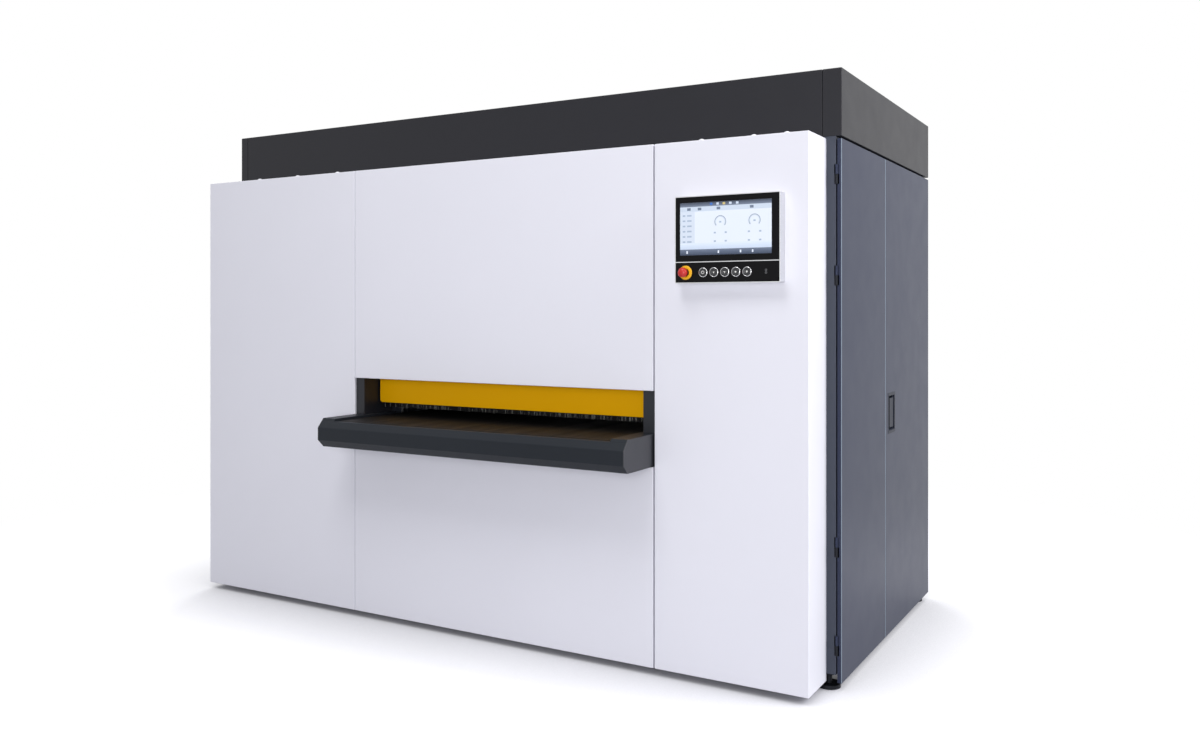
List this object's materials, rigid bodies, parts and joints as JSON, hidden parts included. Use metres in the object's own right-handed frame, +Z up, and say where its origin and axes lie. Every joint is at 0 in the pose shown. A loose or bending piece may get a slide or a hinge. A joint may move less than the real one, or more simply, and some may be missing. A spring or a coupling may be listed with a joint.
{
  "type": "sheet metal deburring machine",
  "caption": "Through-feed deburring machine for flat sheet: cabinet with conveyor belt through a slot, lifting abrasive head, side doors and an operator panel.",
  "frame": {"origin": "on the floor under the middle of the machine's box, tables included", "axes": "+Z up; +X along the machine's width, to the right as the operator sees it; +Y along the feed, from the infeed table at the white front to the outfeed table at the rear"},
  "size_m": [3.281, 2.146, 2.365],
  "materials": {
    "frame_steel": "satin",
    "zinc_steel": "satin",
    "white_panel": "satin",
    "white_cap": "satin",
    "jamb_paint": "satin",
    "attic_paint": "satin",
    "anthracite_paint": "satin",
    "black_steel": "satin",
    "handle_plastic": "satin",
    "table_paint": "satin",
    "machine_grey": "satin",
    "belt_rubber": "matte",
    "bright_steel": "satin",
    "motor_blue": "satin",
    "guard_yellow": "satin",
    "bristle_black": "matte",
    "roller_rubber": "matte",
    "turned_aluminium": "satin",
    "abrasive_cloth": "matte",
    "cast_pulley": "matte",
    "disc_abrasive": "matte",
    "switch_red": "gloss",
    "panel_black": "satin",
    "screen_glass": "gloss",
    "ring_metal": "satin",
    "estop_yellow": "gloss"
  },
  "bodies": {
    "machine": {"base_frame": "frame_steel", "levelling_feet": "zinc_steel", "frame_posts": "frame_steel", "front_panel_left": "white_panel", "front_panel_upper": "white_panel", "front_panel_lower": "white_panel", "front_panel_right": "white_panel", "panel_screws": "white_cap", "opening_jambs": "jamb_paint", "attic_front": "attic_paint", "attic_rear": "attic_paint", "attic_sides": "attic_paint", "roof_deck": "attic_paint", "left_side_panels": "anthracite_paint", "rear_panels": "anthracite_paint", "hinge_pins": "black_steel", "infeed_table": "table_paint", "outfeed_table": "table_paint", "conveyor_frame": "machine_grey", "conveyor_belt": "belt_rubber", "drum_motor": "bright_steel", "lift_columns": "bright_steel", "control_cabinet": "machine_grey", "hmi_housing": "panel_black", "hmi_screen": "screen_glass", "button_rings": "ring_metal", "estop_base": "estop_yellow"},
    "head": {"head_carriage": "machine_grey", "lift_drive": "motor_blue", "infeed_guard": "guard_yellow", "brush_curtain": "bristle_black", "abrasive_belt": "abrasive_cloth", "sanding_motor": "motor_blue", "drive_belt": "belt_rubber"},
    "contact_drum": {"contact_drum": "roller_rubber"},
    "tension_roller": {"tension_roller": "turned_aluminium"},
    "motor_pulley": {"motor_pulley": "cast_pulley"},
    "brush_beam": {"brush_beam": "turned_aluminium", "brush_motors": "motor_blue"},
    "disc_brush_1": {"disc_brush_1": "disc_abrasive"},
    "disc_brush_2": {"disc_brush_2": "disc_abrasive"},
    "disc_brush_3": {"disc_brush_3": "disc_abrasive"},
    "disc_brush_4": {"disc_brush_4": "disc_abrasive"},
    "pressure_roller_front": {"pressure_roller_front": "roller_rubber"},
    "pressure_roller_rear": {"pressure_roller_rear": "roller_rubber"},
    "drive_roller": {"drive_roller": "bright_steel"},
    "idler_roller": {"idler_roller": "bright_steel"},
    "side_door_front": {"side_door_front": "anthracite_paint"},
    "side_door_rear": {"side_door_rear": "anthracite_paint", "handle_dish": "handle_plastic"},
    "handle_paddle": {"handle_paddle": "handle_plastic"},
    "latch_tongue": {"latch_tongue": "zinc_steel"},
    "estop_plunger": {"estop_plunger": "panel_black"},
    "estop_button": {"estop_button": "switch_red"},
    "pushbutton_1": {"pushbutton_1": "panel_black"},
    "pushbutton_2": {"pushbutton_2": "panel_black"},
    "pushbutton_3": {"pushbutton_3": "panel_black"},
    "pushbutton_4": {"pushbutton_4": "panel_black"},
    "pushbutton_5": {"pushbutton_5": "panel_black"},
    "main_switch": {"main_switch": "switch_red"}
  },
  "joints": [
    {"name": "head_lift", "type": "slide", "parent": "machine", "child": "head", "axis": [0, 0, 1], "range_m": [-0.036, 0.062]},
    {"name": "contact_drum_spin", "type": "hinge", "parent": "head", "child": "contact_drum", "pos_m": [0.157, -0.25, 1.0863], "axis": [1, 0, 0], "continuous": true},
    {"name": "tension_roller_spin", "type": "hinge", "parent": "head", "child": "tension_roller", "pos_m": [0.157, -0.25, 1.5063], "axis": [1, 0, 0], "continuous": true},
    {"name": "motor_pulley_spin", "type": "hinge", "parent": "head", "child": "motor_pulley", "pos_m": [-0.66, -0.25, 1.8], "axis": [1, 0, 0], "continuous": true},
    {"name": "brush_oscillation", "type": "slide", "parent": "head", "child": "brush_beam", "axis": [1, 0, 0], "range_m": [-0.04, 0.04]},
    {"name": "pressure_roller_front_spin", "type": "hinge", "parent": "head", "child": "pressure_roller_front", "pos_m": [0.157, -0.42, 1.034], "axis": [1, 0, 0], "continuous": true},
    {"name": "pressure_roller_rear_spin", "type": "hinge", "parent": "head", "child": "pressure_roller_rear", "pos_m": [0.157, 0.48, 1.034], "axis": [1, 0, 0], "continuous": true},
    {"name": "drive_roller_spin", "type": "hinge", "parent": "machine", "child": "drive_roller", "pos_m": [0.157, 1.012, 0.8917], "axis": [1, 0, 0], "continuous": true},
    {"name": "idler_roller_spin", "type": "hinge", "parent": "machine", "child": "idler_roller", "pos_m": [0.157, -1.012, 0.8917], "axis": [1, 0, 0], "continuous": true},
    {"name": "side_door_front_hinge", "type": "hinge", "parent": "machine", "child": "side_door_front", "pos_m": [1.6205, -0.629, 1.063], "axis": [0, 0, -1], "range_deg": [0, 110]},
    {"name": "side_door_rear_hinge", "type": "hinge", "parent": "machine", "child": "side_door_rear", "pos_m": [1.6205, 0.833, 1.063], "axis": [0, 0, 1], "range_deg": [0, 110]},
    {"name": "handle_pull", "type": "hinge", "parent": "side_door_rear", "child": "handle_paddle", "pos_m": [1.635, 0.13797, 0.994], "axis": [0, 0, 1], "range_deg": [0, 40], "stiffness_Nm_per_rad": 1},
    {"name": "latch_slide", "type": "slide", "parent": "side_door_rear", "child": "latch_tongue", "axis": [0, 1, 0], "range_m": [0, 0.014]},
    {"name": "estop_press", "type": "slide", "parent": "machine", "child": "estop_plunger", "axis": [0, 1, 0], "range_m": [0, 0.005]},
    {"name": "estop_twist", "type": "hinge", "parent": "estop_plunger", "child": "estop_button", "pos_m": [1.109, -0.9, 1.588], "axis": [0, 1, 0], "range_deg": [0, 45], "stiffness_Nm_per_rad": 0.05},
    {"name": "main_switch_turn", "type": "hinge", "parent": "machine", "child": "main_switch", "pos_m": [-1.328, 0.833, 1.4], "axis": [0, 1, 0], "range_deg": [0, 90]},
    {"name": "disc_brush_1_spin", "type": "hinge", "parent": "brush_beam", "child": "disc_brush_1", "pos_m": [-0.377, 0.25, 1.06], "axis": [0, 0, 1], "continuous": true},
    {"name": "disc_brush_2_spin", "type": "hinge", "parent": "brush_beam", "child": "disc_brush_2", "pos_m": [-0.021, 0.25, 1.06], "axis": [0, 0, 1], "continuous": true},
    {"name": "disc_brush_3_spin", "type": "hinge", "parent": "brush_beam", "child": "disc_brush_3", "pos_m": [0.335, 0.25, 1.06], "axis": [0, 0, 1], "continuous": true},
    {"name": "disc_brush_4_spin", "type": "hinge", "parent": "brush_beam", "child": "disc_brush_4", "pos_m": [0.691, 0.25, 1.06], "axis": [0, 0, 1], "continuous": true},
    {"name": "pushbutton_1_press", "type": "slide", "parent": "machine", "child": "pushbutton_1", "axis": [0, 1, 0], "range_m": [0, 0.003], "stiffness_N_per_m": 800},
    {"name": "pushbutton_2_press", "type": "slide", "parent": "machine", "child": "pushbutton_2", "axis": [0, 1, 0], "range_m": [0, 0.003], "stiffness_N_per_m": 800},
    {"name": "pushbutton_3_press", "type": "slide", "parent": "machine", "child": "pushbutton_3", "axis": [0, 1, 0], "range_m": [0, 0.003], "stiffness_N_per_m": 800},
    {"name": "pushbutton_4_press", "type": "slide", "parent": "machine", "child": "pushbutton_4", "axis": [0, 1, 0], "range_m": [0, 0.003], "stiffness_N_per_m": 800},
    {"name": "pushbutton_5_press", "type": "slide", "parent": "machine", "child": "pushbutton_5", "axis": [0, 1, 0], "range_m": [0, 0.003], "stiffness_N_per_m": 800}
  ],
  "couplings": [
    {"joint": "tension_roller_spin", "follows": "contact_drum_spin", "ratio": 1.6667},
    {"joint": "motor_pulley_spin", "follows": "contact_drum_spin", "ratio": 1.1667},
    {"joint": "disc_brush_2_spin", "follows": "disc_brush_1_spin", "ratio": -1},
    {"joint": "disc_brush_3_spin", "follows": "disc_brush_1_spin", "ratio": 1},
    {"joint": "disc_brush_4_spin", "follows": "disc_brush_1_spin", "ratio": -1},
    {"joint": "idler_roller_spin", "follows": "drive_roller_spin", "ratio": 1},
    {"joint": "latch_slide", "follows": "handle_pull", "m_per_rad": 0.02}
  ]
}
